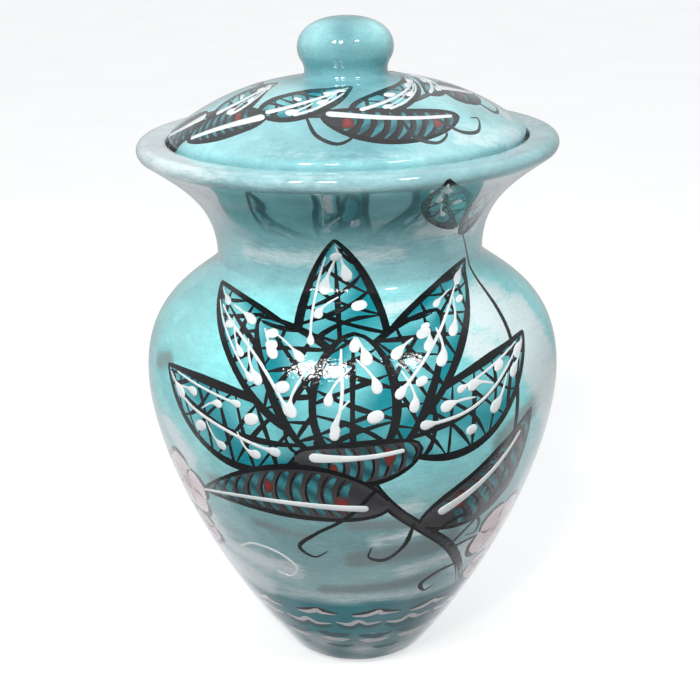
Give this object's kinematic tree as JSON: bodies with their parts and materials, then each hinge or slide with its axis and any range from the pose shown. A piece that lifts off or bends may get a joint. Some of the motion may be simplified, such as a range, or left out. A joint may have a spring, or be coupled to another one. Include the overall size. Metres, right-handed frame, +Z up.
{
  "type": "funeral urn",
  "caption": "Hollow glazed ceramic funeral urn with a flared rim, a tapering belly and a domed lid with a knob.",
  "frame": {"origin": "centre of the foot, on the surface that the urn stands on", "axes": "+Z up along the axis that both pieces are turned about, -Y towards the painted front"},
  "size_m": [0.1848, 0.1848, 0.2936],
  "materials": {
    "jar_glaze": "glossy painted glaze",
    "lid_glaze": "glossy painted glaze"
  },
  "bodies": {
    "root": {"urn_body": "jar_glaze", "urn_lid": "lid_glaze"}
  },
  "joints": []
}
